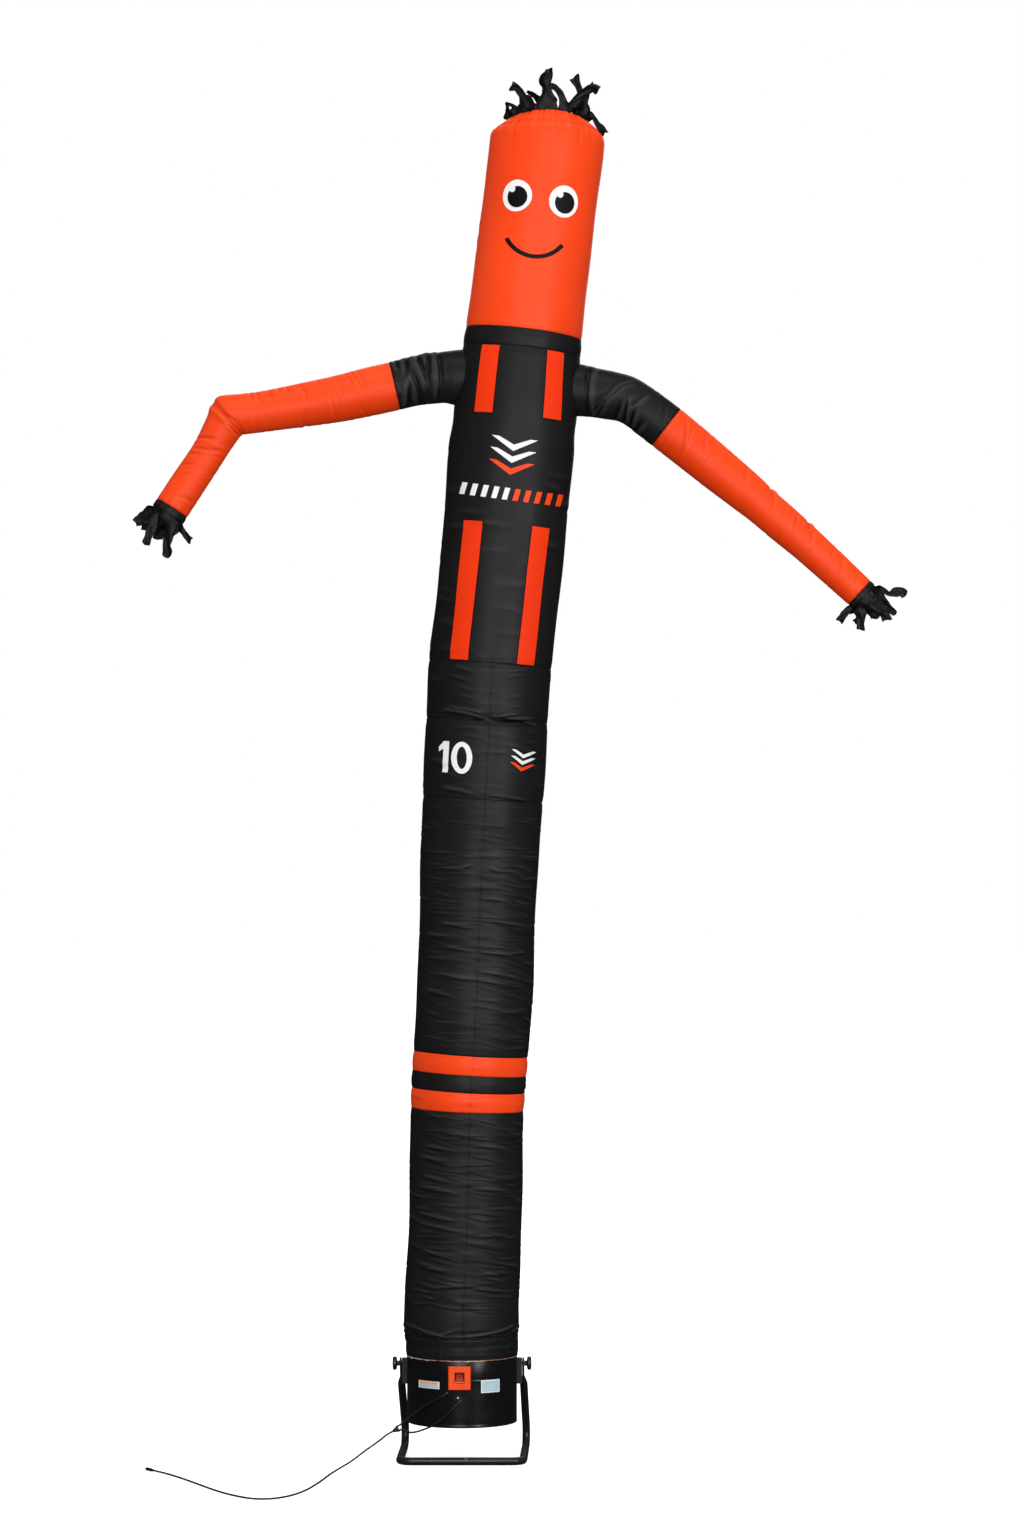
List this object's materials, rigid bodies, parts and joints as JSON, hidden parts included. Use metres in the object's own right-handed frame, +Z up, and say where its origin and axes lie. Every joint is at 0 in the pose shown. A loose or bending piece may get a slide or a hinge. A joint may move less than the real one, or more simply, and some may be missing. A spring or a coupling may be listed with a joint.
{
  "type": "inflatable air dancer with blower",
  "caption": "Blown-up fabric tube figure with arms, fringe hair and a smiling face, swaying on the upright fan blower it is tied to, on a tilting bent-tube stand.",
  "frame": {"origin": "on the floor under the middle of the whole figure", "axes": "+Z up, the face looks along -Y, the figure's left arm points to +X"},
  "size_m": [2.0608, 0.9097, 3.6862],
  "materials": {
    "cloth_black": "tight woven nylon, slightly glossy",
    "cloth_orange": "tight woven nylon, slightly glossy",
    "cloth_white": "matte",
    "print_black": "matte",
    "trim": "woven edging",
    "casing": "satin black moulding",
    "motor_can": "satin black",
    "black_steel": "satin black paint",
    "knob_plastic": "matte black",
    "switch_orange": "satin orange",
    "plate": "satin",
    "screw_steel": "bright",
    "cord_rubber": "matte black"
  },
  "bodies": {
    "dancer": {"lower_tube": "cloth_black", "band_gap": "cloth_black", "mid_tube": "cloth_black", "belly_panel": "cloth_black", "waist_panel": "cloth_black", "chest_panel": "cloth_black", "neck_band": "cloth_black", "sleeve_left": "cloth_black", "sleeve_right": "cloth_black", "cuff_left": "cloth_black", "cuff_right": "cloth_black", "base_collar": "cloth_black", "collar_tab": "cloth_black", "hair": "cloth_black", "fringe_left": "cloth_black", "fringe_right": "cloth_black", "band_lower": "cloth_orange", "band_upper": "cloth_orange", "head_panel": "cloth_orange", "arm_left": "cloth_orange", "arm_right": "cloth_orange", "stripe_upper_left": "cloth_orange", "stripe_upper_right": "cloth_orange", "stripe_lower_left": "cloth_orange", "stripe_lower_right": "cloth_orange", "eye_white_left": "cloth_white", "eye_white_right": "cloth_white", "pupil_left": "print_black", "pupil_right": "print_black", "mouth": "print_black", "collar_trim": "trim", "drum": "casing", "motor": "motor_can", "guard": "black_steel", "bracket_left": "black_steel", "bracket_right": "black_steel", "switch_plate": "switch_orange", "plate_left": "plate", "plate_right": "plate", "screw": "screw_steel", "gland_lead": "cord_rubber", "gland_branch": "cord_rubber", "cord_lead": "cord_rubber", "cord_branch": "cord_rubber", "cord_joint": "cord_rubber", "cord_mains": "cord_rubber", "cord_end": "cord_rubber"},
    "stand": {"stand": "black_steel"},
    "knob_left": {"knob_left": "knob_plastic"},
    "knob_right": {"knob_right": "knob_plastic"},
    "rocker": {"rocker": "switch_orange"},
    "fan": {"fan": "casing"}
  },
  "joints": [
    {"name": "stand_tilt", "type": "hinge", "parent": "dancer", "child": "stand", "pos_m": [-0.1544, -0.0243, 0.254], "axis": [1, 0, 0], "range_deg": [-25, 25]},
    {"name": "knob_left_turn", "type": "hinge", "parent": "dancer", "child": "knob_left", "pos_m": [-0.3169, -0.0243, 0.254], "axis": [1, 0, 0], "continuous": true},
    {"name": "knob_right_turn", "type": "hinge", "parent": "dancer", "child": "knob_right", "pos_m": [0.0081, -0.0243, 0.254], "axis": [1, 0, 0], "continuous": true},
    {"name": "switch", "type": "hinge", "parent": "dancer", "child": "rocker", "pos_m": [-0.1595, -0.1768, 0.2345], "axis": [1, 0, 0], "range_deg": [0, 12]},
    {"name": "fan_spin", "type": "hinge", "parent": "dancer", "child": "fan", "pos_m": [-0.1544, -0.0243, 0.2], "axis": [0, 0, 1], "continuous": true}
  ]
}
